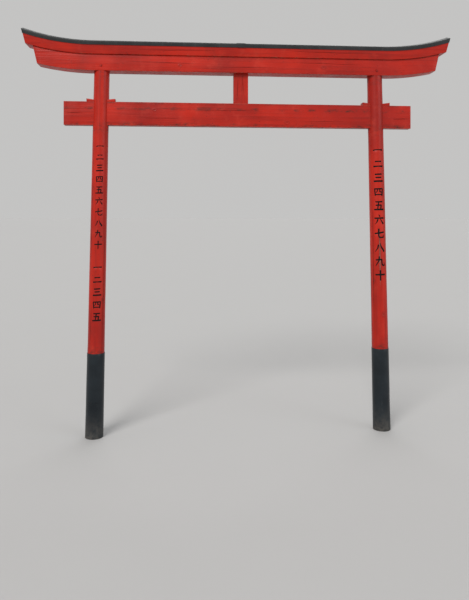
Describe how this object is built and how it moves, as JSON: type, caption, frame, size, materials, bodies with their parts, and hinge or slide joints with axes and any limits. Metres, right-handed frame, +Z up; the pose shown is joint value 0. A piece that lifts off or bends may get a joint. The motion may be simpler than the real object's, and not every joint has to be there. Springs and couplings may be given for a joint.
{
  "type": "torii gate",
  "caption": "Round red posts that lean in, a wedged tie beam, a centre strut and curved lintels under a black rain cover, framing a walk-through passage.",
  "frame": {"origin": "centre of the left post's foot, at ground level", "axes": "+X from the left post to the right post, +Y from the front to the back, +Z up"},
  "size_m": [3.0374, 0.164, 2.8562],
  "materials": {
    "red_post": "smooth log under satin vermilion paint, with drying cracks",
    "red_timber": "planed timber under satin vermilion paint",
    "red_wedge": "split hardwood under vermilion paint",
    "black_sleeve": "satin blue-black paint on sheet",
    "black_cover": "weathered satin black paint on folded sheet"
  },
  "bodies": {
    "root": {"left_post": "red_post", "right_post": "red_post", "left_foot_sleeve": "black_sleeve", "right_foot_sleeve": "black_sleeve", "tie_beam": "red_timber", "left_outer_wedge": "red_wedge", "left_inner_wedge": "red_wedge", "right_inner_wedge": "red_wedge", "right_outer_wedge": "red_wedge", "centre_strut": "red_timber", "lower_lintel": "red_timber", "upper_lintel": "red_timber", "left_tenon_pin": "red_wedge", "right_tenon_pin": "red_wedge", "left_rain_cover": "black_cover", "right_rain_cover": "black_cover", "left_cover_end": "black_cover", "right_cover_end": "black_cover", "cover_joint_strip": "black_cover"}
  },
  "joints": []
}
